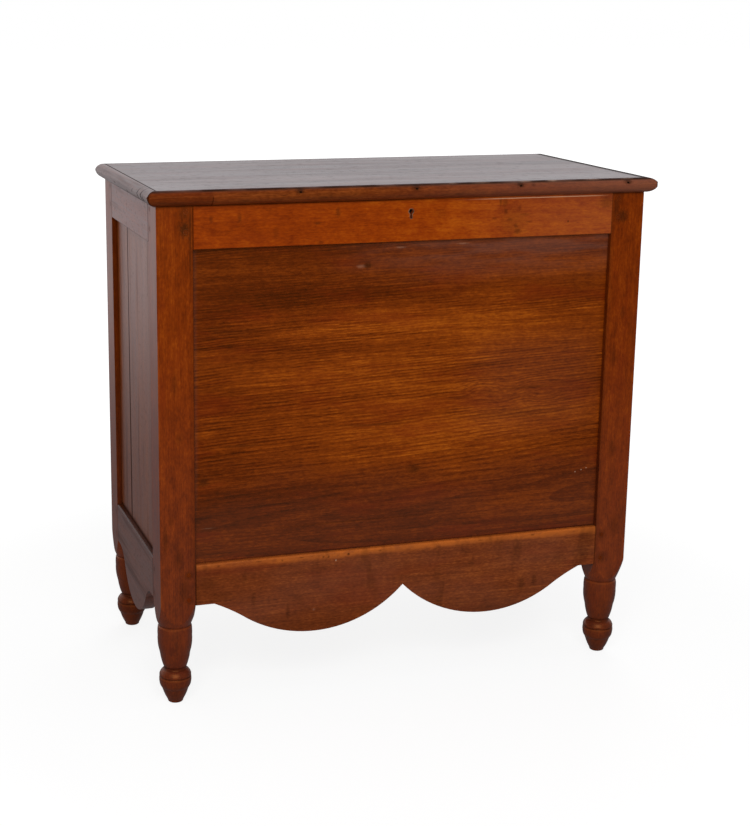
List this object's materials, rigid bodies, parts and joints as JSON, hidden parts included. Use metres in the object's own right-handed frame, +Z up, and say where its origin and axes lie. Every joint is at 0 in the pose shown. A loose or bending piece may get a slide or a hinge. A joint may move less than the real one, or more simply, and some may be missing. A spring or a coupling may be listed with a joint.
{
  "type": "sugar chest",
  "caption": "Joined wooden chest on turned feet, with scalloped skirts, framed panels, a hinged moulded lid, a chest lock and three inner bins.",
  "frame": {"origin": "middle of the whole outline, on the floor under the feet", "axes": "+X to the right of someone facing the front, +Y to the back, +Z up"},
  "size_m": [0.893, 0.453, 0.875],
  "materials": {
    "frame_wood": "oiled and waxed cherry, warm orange brown",
    "skirt_wood": "oiled and waxed cherry, reddish brown",
    "panel_wood": "oiled and waxed cherry, darker brown",
    "lid_wood": "rubbed shellac over cherry, glossy",
    "moulding_wood": "rubbed shellac over cherry, dark",
    "inner_wood": "bare poplar, aged",
    "brass": "aged, dull",
    "iron": "dark, filed"
  },
  "bodies": {
    "case": {"post_front_left": "frame_wood", "post_front_right": "frame_wood", "post_rear_left": "frame_wood", "post_rear_right": "frame_wood", "rail_front_top": "frame_wood", "rail_back_top": "inner_wood", "rail_left_top": "frame_wood", "rail_right_top": "frame_wood", "skirt_front": "skirt_wood", "skirt_left": "skirt_wood", "skirt_right": "skirt_wood", "rail_back_bottom": "inner_wood", "panel_front": "panel_wood", "panel_left_front_board": "panel_wood", "panel_left_rear_board": "panel_wood", "panel_right_front_board": "panel_wood", "panel_right_rear_board": "panel_wood", "back_board_lower": "inner_wood", "back_board_upper": "inner_wood", "pegs_front": "frame_wood", "pegs_back": "frame_wood", "pegs_left": "frame_wood", "pegs_right": "frame_wood", "floor_cleat_front": "inner_wood", "floor_cleat_back": "inner_wood", "floor_cleat_left": "inner_wood", "floor_cleat_right": "inner_wood", "floor_board_front": "inner_wood", "floor_board_middle": "inner_wood", "floor_board_rear": "inner_wood", "divider_left": "inner_wood", "divider_right": "inner_wood", "divider_cleat_left_front": "inner_wood", "divider_cleat_left_rear": "inner_wood", "divider_cleat_right_front": "inner_wood", "divider_cleat_right_rear": "inner_wood", "hinge_left_case_leaf": "brass", "hinge_right_case_leaf": "brass", "hinge_left_pin": "brass", "hinge_right_pin": "brass", "lock_case": "iron", "lock_cover": "iron", "lock_spring": "iron", "lock_key_pin": "iron", "keyhole_escutcheon": "brass", "case_screws": "iron"},
    "lid": {"lid_board_front": "lid_wood", "lid_board_rear": "lid_wood", "lid_moulding_front": "moulding_wood", "lid_moulding_left": "moulding_wood", "lid_moulding_right": "moulding_wood", "lid_batten_left": "inner_wood", "lid_batten_right": "inner_wood", "lid_batten_screws": "iron", "lid_screws": "iron", "hinge_left_lid_leaf": "brass", "hinge_right_lid_leaf": "brass", "strike_plate": "iron"},
    "bolt": {"lock_bolt": "iron"}
  },
  "joints": [
    {"name": "lid_hinge", "type": "hinge", "parent": "case", "child": "lid", "pos_m": [0, 0.222, 0.84975], "axis": [-1, 0, 0], "range_deg": [0, 105]},
    {"name": "lock_bolt_slide", "type": "slide", "parent": "case", "child": "bolt", "axis": [1, 0, 0], "range_m": [0, 0.007]}
  ]
}
